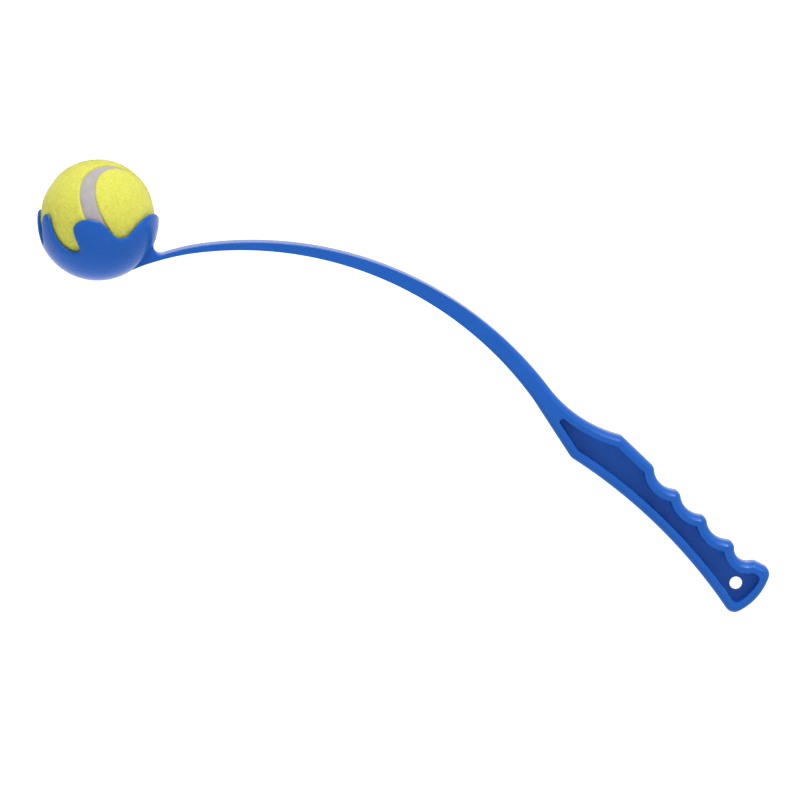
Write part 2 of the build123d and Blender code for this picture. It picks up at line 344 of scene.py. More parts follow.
def crossing(a, b, near):
    """Where two curves cross nearest to a point: the place along each, and the point."""
    r, s = np.diff(a, axis=0)[:, None], np.diff(b, axis=0)[None]
    gap = b[None, :-1] - a[:-1, None]
    with np.errstate(divide="ignore", invalid="ignore"):
        t, u = cross(gap, s) / cross(r, s), cross(gap, r) / cross(r, s)
    slack = 1e-6  # curves that only touch at their ends still meet
    i, j = np.nonzero((t > -slack) & (t < 1 + slack) & (u > -slack) & (u < 1 + slack))
    if not len(i):
        raise RuntimeError("two stretches of an outline do not meet")
    t, u = t[i, j], u[i, j]
    points = a[i] + t[:, None] * (a[i + 1] - a[i])
    best = np.argmin(np.linalg.norm(points - near, axis=1))
    return i[best] + t[best], j[best] + u[best], points[best]


def along(curve, places):
    """Points at the given places along a curve."""
    return np.column_stack([np.interp(places, np.arange(len(curve)), curve[:, k]) for k in (0, 1)])


def stretch(curve, start, end, count):
    """A stretch of a curve as evenly spaced points, and their number."""
    places = np.concatenate(((start,), np.arange(math.floor(start) + 1, math.ceil(end)), (end,)))
    points = along(curve, places)
    run = np.concatenate(((0,), np.cumsum(np.linalg.norm(np.diff(points, axis=0), axis=1))))
    if count is None:
        way = np.diff(points, axis=0)
        bend = np.abs(np.diff(np.unwrap(np.arctan2(way[:, 1], way[:, 0])))).sum()
        count = max(2, math.ceil(run[-1] / STRETCH_STEP), math.ceil(bend / TURN_STEP))
    return along(points, np.interp(np.linspace(0, run[-1], count + 1), run, np.arange(len(points)))), count


def chain(curves, rounds, counts=None):
    """A closed loop of curves, each cut where it meets the next, with rounded corners."""
    number = len(curves)
    spans, corners = [[0.0, 0.0] for _ in curves], []
    for k, radius in enumerate(rounds):
        a, b = curves[k], curves[(k + 1) % number]
        t, u, corner = crossing(a, b, (a[-1] + b[0]) / 2)
        centre = None
        if radius > 0:
            i, j = min(int(t), len(a) - 2), min(int(u), len(b) - 2)
            side = math.copysign(radius, cross(a[i + 1] - a[i], b[j + 1] - b[j]))
            t, u, centre = crossing(a + left_of(a) * side, b + left_of(b) * side, corner)
        spans[k][1], spans[(k + 1) % number][0] = t, u
        corners.append(centre)
    loop, used = [], []
    for k, (start, end) in enumerate(spans):
        points, count = stretch(curves[k], start, end, counts and counts[2 * k])
        loop.append(points[:-1])
        used.append(count)
        following = (k + 1) % number
        if corners[k] is None:
            used.append(0)
            continue
        tips = points[-1] - corners[k], along(curves[following], [spans[following][0]])[0] - corners[k]
        first, sweep = bearing_of(tips[0]), bearing_of(tips[1]) - bearing_of(tips[0])
        sweep -= FULL_TURN * round(sweep / FULL_TURN)
        count = counts[2 * k + 1] if counts else max(2, math.ceil(abs(sweep) / TURN_STEP))
        loop.append(corners[k] + rounds[k] * heading(first + sweep * np.arange(count) / count))
        used.append(count)
    return np.vstack(loop), used


# Meshes

def inside(points, loops):
    """Which points lie inside an odd number of loops."""
    odd = np.zeros(len(points), bool)
    x, y = points[:, :1], points[:, 1:]
    for loop in loops:
        a, b = loop, np.roll(loop, -1, axis=0)
        spans = (a[:, 1] > y) != (b[:, 1] > y)
        with np.errstate(divide="ignore", invalid="ignore"):
            hit = a[:, 0] + (y - a[:, 1]) / (b[:, 1] - a[:, 1]) * (b[:, 0] - a[:, 0])
        odd ^= (np.count_nonzero(spans & (x < hit), axis=1) % 2).astype(bool)
    return odd


def triangles(chart, loops):
    """Triangles over a flat chart of points, inside its loops of point numbers."""
    edges = [pair for loop in loops for pair in zip(loop.tolist(), np.roll(loop, -1).tolist())]
    spots = [Vector(point) for point in chart / MM]
    # Output type 1 keeps what lies within the loops. Points this near, in millimetres, count as one.
    within_loops, nearness = 1, 1e-6
    found, _, faces, sources, _, _ = delaunay_2d_cdt(spots, edges, [], within_loops, nearness)
    source = np.array([ids[0] for ids in sources])
    faces = np.array(faces)
    middles = np.array([point[:] for point in found])[faces].mean(axis=1) * MM
    return source[faces][inside(middles, [chart[loop] for loop in loops])].tolist()


def honeycomb(loop, pitch):
    """Evenly spread points inside a flat loop, clear of its edge."""
    edge_gap = 0.6 * pitch
    low, high = loop.min(axis=0), loop.max(axis=0)
    rows = np.arange(low[1], high[1], pitch * math.sqrt(3) / 2)
    points = []
    for k, y in enumerate(rows):
        xs = np.arange(low[0] + (k % 2) * pitch / 2, high[0], pitch)
        points.append(np.column_stack((xs, np.full(len(xs), y))))
    points = np.vstack(points)
    points = points[inside(points, [loop])]
    gaps = np.linalg.norm(points[:, None] - loop[None], axis=2).min(axis=1)
    return points[gaps > edge_gap]


class Shell:
    """Points and faces of a piece while it is being made."""

    def __init__(self):
        self.points = np.zeros((0, 3))
        self.faces = []

    def add(self, points):
        start = len(self.points)
        self.points = np.vstack((self.points, points))
        return np.arange(start, len(self.points))

    def ring(self, flat, y):
        return self.add(np.column_stack((flat[:, 0], np.broadcast_to(y, len(flat)), flat[:, 1])))

    def bands(self, rings):
        """Faces from each closed ring to the next, which has as many points."""
        for a, b in zip(rings, rings[1:]):
            self.faces += np.column_stack((a, np.roll(a, -1), np.roll(b, -1), b)).tolist()

    def side(self, loops):
        """Faces over a flat side between loops of points."""
        ids = np.concatenate(loops)
        splits = np.cumsum([len(loop) for loop in loops])[:-1]
        faces = triangles(self.points[ids][:, (0, 2)], np.split(np.arange(len(ids)), splits))
        self.faces += ids[faces].tolist()

    def mesh(self, name):
        mesh = bpy.data.meshes.new(name)
        mesh.from_pydata(self.points.tolist(), [], self.faces)
        tidy(mesh)
        return mesh


def tidy(mesh):
    """Drop loose and doubled points, split faces of many sides and turn every face outwards."""
    most_sides = 4
    work = bmesh.new()
    work.from_mesh(mesh)
    bmesh.ops.delete(work, geom=[v for v in work.verts if not v.link_faces], context="VERTS")
    bmesh.ops.remove_doubles(work, verts=work.verts, dist=DOUBLES_WITHIN)
    bmesh.ops.triangulate(work, faces=[face for face in work.faces if len(face.verts) > most_sides])
    bmesh.ops.recalc_face_normals(work, faces=work.faces)
    work.to_mesh(mesh)
    work.free()


def piece(name, mesh, material, crease):
    """A finished object at the origin, smooth but for its creases."""
    mesh.name = name
    mesh.materials.clear()
    mesh.materials.append(material)
    mesh.shade_smooth()
    mesh.set_sharp_from_angle(angle=crease)
    obj = bpy.data.objects.new(name, mesh)
    bpy.context.scene.collection.objects.link(obj)
    return obj


def evaluated_mesh(obj):
    depsgraph = bpy.context.evaluated_depsgraph_get()
    return bpy.data.meshes.new_from_object(obj.evaluated_get(depsgraph), depsgraph=depsgraph)


def remove(obj):
    mesh = obj.data
    bpy.data.objects.remove(obj)
    bpy.data.meshes.remove(mesh)


def ease(low, high, x):
    """Zero below low, one above high and smooth between."""
    t = np.clip((np.asarray(x) - low) / (high - low), 0, 1)
    return t * t * (3 - 2 * t)


# Launcher

class Layout:
    """Centres, radii and points that the launcher's pieces share."""

    def __init__(self, scene):
        self.arm, self.cup, self.ball = scene.launcher_arm, scene.launcher_cup, scene.launcher_ball
        arm, cup = self.arm, self.cup
        self.neck_low = np.array(arm.neck_foot)
        self.low_centre = self.neck_low - arm.low_radius * heading(arm.neck_angle)
        self.ball_space = self.ball.radius + cup.clearance
        self.bowl_radius = self.ball_space + cup.wall
        reach = arm.low_radius + self.bowl_radius - cup.sink
        self.bowl_centre = self.low_centre + (-cup.reach, math.sqrt(reach ** 2 - cup.reach ** 2))
        self.ball_centre = self.bowl_centre + (0, cup.drop)
        sides = arm.low_radius ** 2 + reach ** 2 - self.bowl_radius ** 2
        meet = math.acos(sides / (2 * arm.low_radius * reach))
        tip_angle = bearing_of(self.bowl_centre - self.low_centre) + meet
        self.neck_top = self.over(arm.neck_angle, arm.neck_depth)
        tip, crest = self.over(tip_angle, arm.tip_depth), self.over(0, arm.crest_depth)
        self.top_centre, self.top_radius = circle_through(tip, crest, self.neck_top)
        self.neck_middle = (self.neck_low + self.neck_top) / 2

    def over(self, bearing, height):
        return self.low_centre + (self.arm.low_radius + height) * heading(bearing)

    def solid(self, flat):
        return Vector((flat[0], 0, flat[1]))


def finger_centres(grip):
    """Centre and radius of each finger hollow, from the shoulder to the butt."""
    way, out = heading(grip.finger_slope + QUARTER), heading(grip.finger_slope)
    for k in range(grip.fingers):
        place, radius = grip.finger_pitch * k, grip.finger_radius
        if k == grip.fingers - 1:
            place, radius = place - grip.last_shift, grip.last_radius
        yield np.array(grip.finger_first) + way * place + out * radius, radius


def finger_arcs(grip, depth):
    """The finger hollows from the butt to the shoulder, each deepened by a gap."""
    past_half = math.radians(6)
    first, last = grip.finger_slope + QUARTER - past_half, grip.finger_slope + 3 * QUARTER + past_half
    return [arc(centre, radius + depth, first, last) for centre, radius in finger_centres(grip)][::-1]


def ramp_foot(grip):
    """Where the straight ramp from the shoulder comes down over the first finger hollow."""
    return np.array(grip.finger_first) + heading(grip.finger_slope) * grip.ramp_end


def grip_corners(grip):
    """The corners at the neck, at the butt's heel and top, and at the shoulder."""
    return [np.array(spot) for spot in (grip.neck_heel, grip.butt_heel, grip.butt_corner, grip.shoulder)]


def neck_arc(layout, grip):
    """Centre and radius of the arc that runs on from the arm's upper face to the shoulder."""
    out = (layout.neck_top - layout.top_centre) / layout.top_radius
    gap = np.array(grip.shoulder) - layout.neck_top
    radius = gap @ gap / (2 * gap @ out)
    return layout.neck_top + out * radius, abs(radius)


def root_bend(arm, centre, radius):
    """The sharper bend that carries one of the arm's long arcs on into the bowl."""
    middle = centre + (radius - arm.root_radius) * heading(arm.root_from)
    return arc(middle, arm.root_radius, arm.root_from, arm.root_from - arm.root_sweep)


def launcher_outline(layout, grip):
    """The launcher's side view as one closed loop, from the cup along the underside and back."""
    arm, cup, overrun = layout.arm, layout.cup, 4 * MM
    neck_heel, heel, corner, shoulder = grip_corners(grip)
    centre, radius = neck_arc(layout, grip)
    lean = bearing_of(shoulder - centre)
    neck_end = lean + (bearing_of(layout.neck_top - centre) - lean) % FULL_TURN
    top_start = bearing_of(layout.neck_top - layout.top_centre)
    upper = np.vstack((
        arc(centre, radius, lean, neck_end)[:-1],
        arc(layout.top_centre, layout.top_radius, top_start, arm.root_from)[:-1],
        root_bend(arm, layout.top_centre, layout.top_radius),
    ))
    under = np.vstack((
        root_bend(arm, layout.low_centre, arm.low_radius)[::-1],
        arc(layout.low_centre, arm.low_radius, arm.root_from, arm.neck_angle)[1:],
    ))
    skin = layout.bowl_radius - cup.root_bite
    inner = layout.bowl_radius - cup.root_depth
    spread = math.radians(32)
    lead_points = 8  # how far the upper curve runs on straight over the shoulder

    def spoke(bearing, radii):
        return line(*(layout.bowl_centre + reach * heading(bearing) for reach in radii))

    curves = [
        run_on(under, overrun),
        run_on(line(layout.neck_low, neck_heel), overrun),
        run_on(arc_through(neck_heel, np.array(grip.belly), heel), overrun),
        run_on(arc_through(heel, np.array(grip.butt_side), corner), overrun),
        run_on(line(corner, np.array(grip.butt_ramp)), overrun),
        *finger_arcs(grip, 0),
        run_on(line(ramp_foot(grip), shoulder), overrun),
        np.vstack((2 * upper[0] - upper[lead_points], upper)),
        arc(layout.bowl_centre, skin, cup.root_top + spread, cup.root_top - spread),
        spoke(cup.root_top, (skin + cup.root_depth, inner - cup.root_depth)),
        arc(layout.bowl_centre, inner, cup.root_top - spread, cup.root_low + spread),
        spoke(cup.root_low, (inner - cup.root_depth, skin + cup.root_depth)),
        arc(layout.bowl_centre, skin, cup.root_low + spread, cup.root_low - spread),
    ]
    ridges = [grip.end_ridge, grip.last_ridge] + [grip.ridge_round] * (grip.fingers - 1)
    rounds = [
        0, grip.neck_round, grip.heel_round, grip.corner_round, *ridges, grip.shoulder_round,
        cup.root_fillet, 0, 0, 0, 0, 0,
    ]
    return chain(curves, rounds)[0]


def pocket_loops(layout, grip, pocket, gaps):
    """The pocket's outline, widened by each gap, with points that match from loop to loop."""
    overrun = 3 * MM
    neck_heel, heel, corner, shoulder = grip_corners(grip)
    centre, radius = neck_arc(layout, grip)

    def beside(start, end, rim):
        out = left_of(np.array((start, end)))[0]
        return line(start + out * rim, end + out * rim)

    past_shoulder, neck_sweep = math.radians(6), math.radians(59.4)
    tip_from, tip_to = math.radians(110), math.radians(240)
    first = bearing_of(shoulder - centre) - past_shoulder
    curves = [
        beside(layout.neck_low, neck_heel, pocket.rim),
        arc_through(neck_heel, np.array(grip.belly), heel, pocket.rim),
        arc_through(heel, np.array(grip.butt_side), corner, -pocket.butt_rim),
        beside(corner, np.array(grip.butt_ramp), pocket.upper_rim),
        *finger_arcs(grip, pocket.upper_rim),
        beside(ramp_foot(grip), shoulder, pocket.upper_rim),
        arc(centre, radius + pocket.upper_rim, first, first + neck_sweep),
        arc(layout.neck_middle, pocket.start, tip_from, tip_to),
    ]
    cusps = [0] * (grip.fingers + 1)
    rounds = [*[pocket.corner_round] * 3, *cusps, pocket.corner_round, *[pocket.tip_round] * 2]
    loops, counts = [], None
    for gap in gaps:
        wider = [run_on(curve - left_of(curve) * gap, overrun) for curve in curves]
        loop, counts = chain(wider, [r and r + gap for r in rounds], counts)
        loops.append(loop)
    return loops


def plate_mesh(layout, grip, pocket):
    """Grip, arm and root in one closed plate: rounded edges, flat sides, two pockets and the hang hole."""
    shell, cup, bowl = Shell(), layout.cup, layout.bowl_radius
    loop = launcher_outline(layout, grip)
    inward = left_of(loop, closed=True)
    neck_x, cup_x = layout.neck_middle[0], layout.bowl_centre[0]
    tip_half, grip_half = layout.arm.tip_width / 2, grip.width / 2
    share = np.clip((loop[:, 0] - cup_x) / (neck_x - cup_x), 0, 1)
    half = tip_half + (grip_half - tip_half) * share

    # The edge is crisp on the arm, rounder on the grip and above the root, and changes smoothly between.
    before_neck, past_neck, tilt, bowl_gap = 60 * MM, 25 * MM, 0.35, 1.5 * MM
    grown = ease(neck_x - before_neck, neck_x + past_neck, loop[:, 0])
    below = ease(-tilt, tilt, inward[:, 1])
    rolled = grip.edge_round * (1 - below) + grip.low_round * below
    radius = layout.arm.edge_round * (1 - grown) + rolled * grown
    notch = layout.bowl_centre + (bowl + cup.root_fillet / 2) * heading(cup.root_notch)
    far_off = np.linalg.norm(loop - notch, axis=1)
    clear = np.linalg.norm(loop - layout.bowl_centre, axis=1) - bowl
    rooted = (1 - ease(0, cup.root_span, far_off)) * ease(0, bowl_gap, clear) * (1 - below)
    radius += (cup.root_edge - radius) * rooted
    swing = QUARTER * (1 - grown) + (grip.edge_turn * (1 - below) + grip.low_turn * below) * grown
    steps, hold = 7, 0.2 * MM

    def edge_ring(step, side):
        angle = swing * step / steps
        inset, fall = radius * (1 - np.cos(angle)), radius * (np.sin(swing) - np.sin(angle))
        if step > steps:
            inset, fall = radius * (1 - np.cos(swing)) + hold, 0
        return shell.ring(loop + inward * inset[:, None], side * (half - fall))

    near = [edge_ring(step, -1) for step in range(steps + 2)]
    wall = half - radius * np.sin(swing)
    middle = [shell.ring(loop, wall * level) for level in (-0.5, 0, 0.5)]
    far = [edge_ring(step, 1) for step in range(steps + 2)]
    shell.bands(near[::-1] + middle + far)

    # For each ring of a pocket's wall: its gap outside the outline and its depth below the grip's side.
    depth, lip, low = grip_half - pocket.web / 2, pocket.lip, pocket.floor_round
    mid_round, flat_run = 1 - math.sqrt(0.5), 1.5 * low
    walls = [
        (2 * lip, 0), (lip, 0), (lip * mid_round, lip * mid_round), (0, lip),
        (-pocket.draft, depth - low), (-pocket.draft - low * mid_round, depth - low * mid_round),
        (-pocket.draft - low, depth), (-pocket.draft - flat_run, depth),
    ]
    loops = pocket_loops(layout, grip, pocket, [gap for gap, _ in walls])

    # For each ring of the hole: its gap outside the bore and its distance from the middle plane.
    hole_lip, hole_points, web_half = 0.3 * MM, 64, pocket.web / 2
    hole_rows = [
        (2 * hole_lip, web_half), (hole_lip, web_half),
        (hole_lip * mid_round, web_half - hole_lip * mid_round), (0, web_half - hole_lip),
    ]
    rim = heading(np.linspace(0, FULL_TURN, hole_points, endpoint=False))
    holes = []
    for side, edge in ((-1, near[-1]), (1, far[-1])):
        rings = [shell.ring(flat, side * (grip_half - fall)) for flat, (_, fall) in zip(loops, walls)]
        holes.append([shell.ring(rim * (pocket.hole_radius + gap), side * y) for gap, y in hole_rows])
        shell.bands(rings)
        shell.side([edge, rings[0]])
        shell.side([rings[-1], holes[-1][0]])
    shell.bands(holes[0] + holes[1][::-1])

    # The root follows the bowl's round across its width.
    full_at, none_at = cup_x + bowl * 0.75, cup_x + bowl * 1.05
    x, y = shell.points[:, 0], shell.points[:, 1]
    near_bowl = 1 - ease(full_at, none_at, x)
    shell.points[:, 0] -= near_bowl * (bowl - np.sqrt(bowl ** 2 - y ** 2))
    return shell.mesh("plate")


def smooth_run(points):
    """A flat cubic curve through a run's points that is level at both ends."""
    gaps = np.linalg.norm(np.diff(points, axis=0), axis=1)
    knots = np.concatenate(((0,), np.cumsum(gaps)))
    count = len(points)
    rows, slopes = np.eye(count), np.zeros((count, 2))
    slopes[0] = slopes[-1] = (math.copysign(1, points[-1][0] - points[0][0]), 0)
    for k in range(1, count - 1):
        before, after = gaps[k - 1], gaps[k]
        rows[k, k - 1:k + 2] = after, 2 * (before + after), before
        rise = (points[k] - points[k - 1]) * after / before + (points[k + 1] - points[k]) * before / after
        slopes[k] = 3 * rise
    slopes = np.linalg.solve(rows, slopes)
    pitch, fewest = 0.7 * MM, 8
    places = np.linspace(0, knots[-1], max(fewest, int(knots[-1] / pitch)), endpoint=False)
    k = np.clip(np.searchsorted(knots, places, side="right") - 1, 0, count - 2)
    gap = gaps[k][:, None]
    t = ((places - knots[k]) / gaps[k])[:, None]
    return ((1 + 2 * t) * (1 - t) ** 2 * points[k] + t * (1 - t) ** 2 * gap * slopes[k]
            + t * t * (3 - 2 * t) * points[k + 1] + t * t * (t - 1) * gap * slopes[k + 1])


def rim_ways(layout):
    """Directions from the ball's centre to the cup's rim, once around."""
    bowl, ball = layout.bowl_radius, layout.ball.radius
    runs = [[(math.radians(angle) * bowl, share * ball) for angle, share in run] for run in RIM_SHARES]
    back = [[(FULL_TURN * bowl - u, v) for u, v in run[::-1]] for run in runs[::-1]]
    rim = np.vstack([smooth_run(np.array(run)) for run in runs + back])
    angle = rim[:, 0] / bowl + layout.cup.petal_turn
    ways = np.column_stack((bowl * np.cos(angle), bowl * np.sin(angle), rim[:, 1]))
    return unit(ways)


def cup_skin(layout, ways, outside):
    """Where directions from the ball's centre leave the bowl's outer or inner face."""
    level = np.linalg.norm(ways[:, :2], axis=1)
    radius = layout.bowl_radius if outside else layout.ball_space
    drop = layout.cup.drop if outside else 0
    on_ball = -ways[:, 2] * drop + np.sqrt((ways[:, 2] * drop) ** 2 + radius ** 2 - drop ** 2)
    on_wall = radius / np.maximum(level, TINY)
    upright = on_wall * ways[:, 2] > -drop
    return ways * np.where(upright, on_wall, on_ball)[:, None]


def cup_chart(ways, radius):
    """Directions laid flat around the cup's lowest point."""
    fall = np.arccos(np.clip(-ways[:, 2], -1, 1)) * radius
    return unit(ways[:, :2]) * fall[:, None]


def cup_mesh(layout):
    """The bowl with its petals: an outer and an inner face joined by a rounded rim."""
    shell = Shell()
    rim = rim_ways(layout)
    middle = (cup_skin(layout, rim, True) + cup_skin(layout, rim, False)) / 2
    tangent = np.roll(middle, -1, axis=0) - np.roll(middle, 1, axis=0)
    out = unit(np.cross(tangent, rim))
    out *= np.sign(np.median(out[:, 2]))
    edge = unit(middle - out * layout.cup.rim_round)
    radius = layout.bowl_radius
    loop = cup_chart(edge, radius)
    flat = np.vstack((loop, honeycomb(loop, CUP_PITCH)))
    fall = np.linalg.norm(flat, axis=1) / radius
    ways = np.column_stack((unit(flat) * np.sin(fall)[:, None], -np.cos(fall)))
    faces = np.array(triangles(flat, [np.arange(len(loop))]))
    outer = shell.add(cup_skin(layout, ways, True))
    inner = shell.add(cup_skin(layout, ways, False))
    shell.faces += outer[faces].tolist() + inner[faces].tolist()
    a, b = shell.points[outer[:len(loop)]], shell.points[inner[:len(loop)]]
    steps = 8
    rings = [outer[:len(loop)]]
    for k in range(1, steps):
        angle = math.pi * k / steps
        swell = out * layout.cup.rim_round * math.sin(angle)
        rings.append(shell.add((a + b) / 2 + (a - b) / 2 * math.cos(angle) + swell))
    shell.bands(rings + [inner[:len(loop)]])
    shell.points += np.array(layout.solid(layout.ball_centre))
    return shell.mesh("cup_shell")


# Ball

def seam_half(ball, turns):
    """Half of the seam's width along its way, as an angle."""
    sharpness = 8
    crowd = np.cos(turns - ball.pinch_place) ** sharpness
    return ball.seam_width / 2 / ball.radius * (1 - ball.pinch * crowd)


def seam_ways(swing, lean, turns):
    """Directions along the ball's seam, leaned to one side by an angle."""
    main, lift = 1 - swing, 2 * math.sqrt(swing * (1 - swing))
    out = np.column_stack((
        main * np.cos(turns) + swing * np.cos(3 * turns),
        main * np.sin(turns) - swing * np.sin(3 * turns),
        lift * np.sin(2 * turns),
    ))
    way = np.column_stack((
        -main * np.sin(turns) - 3 * swing * np.sin(3 * turns),
        main * np.cos(turns) - 3 * swing * np.cos(3 * turns),
        2 * lift * np.cos(2 * turns),
    ))
    side = unit(np.cross(out, way))
    return out * np.cos(lean)[:, None] + side * np.sin(lean)[:, None]


def ball_turned(layout, points):
    """Points of the ball brought from its own axes to its place in the cup."""
    x, y, z = layout.ball.lie
    turned = Matrix.Rotation(x, 3, "X") @ Matrix.Rotation(y, 3, "Y") @ Matrix.Rotation(z, 3, "Z")
    return points @ np.array(turned).T + np.array(layout.solid(layout.ball_centre))


SEAM_TURNS = np.linspace(0, FULL_TURN, SEAM_STEPS, endpoint=False)
PANEL_POLE = np.array((1, 1, 0)) / math.sqrt(2)
PANEL_END = np.array((-1, 1, 0)) / math.sqrt(2)


def seam_rings(shell, ball, rows):
    """Rings along the seam, each leaned to one side by its angles and lying at its radius."""
    return [shell.add(seam_ways(ball.seam_swing, lean, SEAM_TURNS) * radius) for lean, radius in rows]


def panel_chart(ways, radius):
    """Directions laid flat along the middle of a felt panel."""
    across = np.arcsin(np.clip(ways @ PANEL_POLE, -1, 1))
    around = np.arctan2(ways @ PANEL_END, ways[:, 2])
    return np.column_stack((around, across)) * radius


def panel_ways(flat, radius):
    """Directions of points on that flat panel."""
    around, across = flat.T / radius
    level = heading(around) @ np.array((PANEL_END, (0, 0, 1)))
    return level * np.cos(across)[:, None] + np.sin(across)[:, None] * PANEL_POLE


def felt_mesh(layout, turned_over):
    """One dumbbell panel of felt, rolled over at its edge along the seam."""
    ball, shell = layout.ball, Shell()
    base, roll, roll_steps = ball.radius - ball.felt, ball.edge_roll, 5
    coarse, fine, fine_share, lump_sink = 9, 21, 0.6, 0.6
    rows = [(0, base), (0, ball.radius - roll)]
    for k in range(1, roll_steps + 1):
        angle = QUARTER * k / roll_steps
        rows.append((roll * (1 - math.cos(angle)), ball.radius - roll * (1 - math.sin(angle))))
    half = seam_half(ball, SEAM_TURNS + QUARTER * turned_over)
    rings = seam_rings(shell, ball, [(half + inset / ball.radius, radius) for inset, radius in rows])
    shell.bands(rings)
    edge = shell.points[rings[-1]] / ball.radius
    loop = panel_chart(edge, ball.radius)
    inner = honeycomb(loop, FELT_PITCH)
    flat = np.vstack((loop, inner))
    faces = np.array(triangles(flat, [np.arange(len(loop))]))
    ways = panel_ways(inner, ball.radius)
    lumps = np.array([
        noise.noise(Vector(way) * coarse) + fine_share * noise.noise(Vector(way) * fine) for way in ways
    ])
    reach = ball.radius + ball.lump * (lumps - lump_sink)
    top = np.concatenate((rings[-1], shell.add(ways * reach[:, None])))
    low = np.concatenate((rings[0], shell.add(ways * base)))
    shell.faces += top[faces].tolist() + low[faces].tolist()
    if turned_over:
        x, y, z = shell.points.T
        shell.points = np.column_stack((-y, x, -z))
    shell.points = ball_turned(layout, shell.points)
    return shell.mesh("felt")


def seam_mesh(layout):
    """The closed strip of rubber that fills the seam, a little crowned."""
    ball, shell = layout.ball, Shell()
    base, crest = ball.radius - ball.felt, ball.radius - ball.seam_sink
    half = seam_half(ball, SEAM_TURNS)
    across, flatness = 11, 4
    shares = np.linspace(-1, 1, across)
    rows = [(share, crest - ball.seam_crown * share ** flatness) for share in shares]
    rows += [(1, base), (-1, base)]
    rings = seam_rings(shell, ball, [(half * share, radius) for share, radius in rows])
    shell.bands(rings + rings[:1])
    shell.points = ball_turned(layout, shell.points)
    return shell.mesh("seam")


class Tree:
    """A node tree with short calls to add and join nodes."""

    def __init__(self, tree):
        self.tree = tree
        tree.nodes.clear()

    def add(self, kind, inputs=(), **settings):
        node = self.tree.nodes.new(kind)
        for name, value in settings.items():
            setattr(node, name, value)
        for socket, value in dict(inputs).items():
            if isinstance(value, bpy.types.NodeSocket):
                self.tree.links.new(value, node.inputs[socket])
            else:
                node.inputs[socket].default_value = value
        return node

    def out(self, kind, inputs=(), output=0, **settings):
        """One output of a new node."""
        return self.add(kind, inputs, **settings).outputs[output]

    def calc(self, operation, a, b):
        """The result of a math node."""
        return self.out("ShaderNodeMath", {0: a, 1: b}, operation=operation)


def nap_tree(material):
    """Geometry nodes that scatter short bent fibres over a felt panel."""
    least_lean, most_lean = math.radians(25), math.radians(72)
    least_size, most_size = 0.5, 1.3
    group = bpy.data.node_groups.new("felt_nap", "GeometryNodeTree")
    kinds = {
        "Felt": "Geometry", "Count": "Float", "Length": "Float", "Thickness": "Float",
        "Middle": "Vector", "Inside": "Float", "Seed": "Int",
    }
    sockets = {}
    for name, kind in kinds.items():
        made = group.interface.new_socket(name, in_out="INPUT", socket_type=f"NodeSocket{kind}")
        sockets[name] = made.identifier
    group.interface.new_socket("Felt", in_out="OUTPUT", socket_type="NodeSocketGeometry")
    tree = Tree(group)
    given = tree.add("NodeGroupInput").outputs

    def random(low, high, seed):
        return tree.out("FunctionNodeRandomValue", {2: low, 3: high, "Seed": seed}, 1, data_type="FLOAT")

    place = tree.out("GeometryNodeInputPosition")
    reach = tree.out("ShaderNodeVectorMath", {0: place, 1: given["Middle"]}, "Value", operation="DISTANCE")
    outer = tree.calc("GREATER_THAN", reach, given["Inside"])
    density = tree.calc("MULTIPLY", outer, given["Count"])
    points = tree.add(
        "GeometryNodeDistributePointsOnFaces",
        {"Mesh": given["Felt"], "Density": density, "Seed": given["Seed"]}, distribute_method="RANDOM",
    ).outputs
    fibre = tree.out("GeometryNodeMeshCone", {
        "Vertices": 3, "Side Segments": 1, "Radius Top": 0.0,
        "Radius Bottom": given["Thickness"], "Depth": given["Length"],
    }, "Mesh", fill_type="NGON")
    height = tree.out("ShaderNodeSeparateXYZ", {0: place}, "Z")
    share = tree.calc("DIVIDE", height, given["Length"])
    shift = tree.out("ShaderNodeCombineXYZ", {"X": tree.calc("MULTIPLY", share, height)})
    bent = tree.out("GeometryNodeSetPosition", {"Geometry": fibre, "Offset": shift})
    spin = tree.out("ShaderNodeCombineXYZ", {"Z": random(0, FULL_TURN, 1)})
    lean = tree.out("ShaderNodeCombineXYZ", {"Y": random(least_lean, most_lean, 2)})
    pose = points["Rotation"]
    for euler in (spin, lean):
        by = tree.out("FunctionNodeEulerToRotation", {0: euler})
        turned = {"Rotation": pose, "Rotate By": by}
        pose = tree.out("FunctionNodeRotateRotation", turned, rotation_space="LOCAL")
    fibres = tree.out("GeometryNodeInstanceOnPoints", {
        "Points": points["Points"], "Instance": bent, "Rotation": pose,
        "Scale": random(least_size, most_size, 3),
    })
    nap = tree.out("GeometryNodeRealizeInstances", {0: fibres})
    both = tree.add("GeometryNodeJoinGeometry", {0: given["Felt"]})
    group.links.new(nap, both.inputs[0])
    done = tree.out("GeometryNodeSetMaterial", {"Geometry": both.outputs[0], "Material": material})
    tree.add("NodeGroupOutput", {0: done})
    return group, sockets


# Finishes

